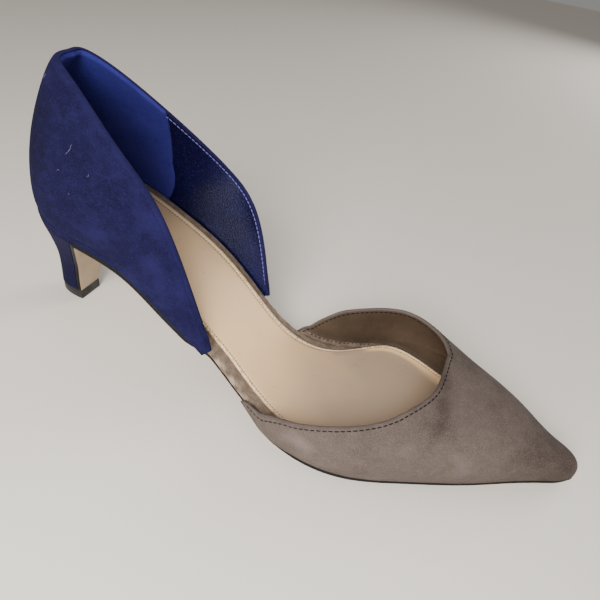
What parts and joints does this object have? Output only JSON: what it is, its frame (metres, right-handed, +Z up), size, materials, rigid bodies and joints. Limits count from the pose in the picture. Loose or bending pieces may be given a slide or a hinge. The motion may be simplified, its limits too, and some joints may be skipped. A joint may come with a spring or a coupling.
{
  "type": "dorsay pump",
  "caption": "Right-foot dorsay pump with a pointed suede vamp, a separate suede heel counter, an open wrapped waist and a slim covered heel.",
  "frame": {"origin": "on the floor, at the middle of the heel tip's length and width, on the top lift's underside", "axes": "+X forwards to the toe, +Y to the inner side of the foot (the wearer's left), +Z up from the floor"},
  "size_m": [0.2508, 0.0808, 0.1146],
  "materials": {
    "tan_sole_leather": "smooth leather with a black painted edge",
    "taupe_suede": "suede",
    "nude_leather": "smooth satin leather",
    "blue_suede": "suede",
    "black_rubber": "matte"
  },
  "bodies": {
    "root": {"outsole": "tan_sole_leather", "insole_board": "taupe_suede", "insole_sock": "nude_leather", "vamp": "taupe_suede", "counter": "blue_suede", "heel": "blue_suede", "top_lift": "black_rubber"}
  },
  "joints": []
}
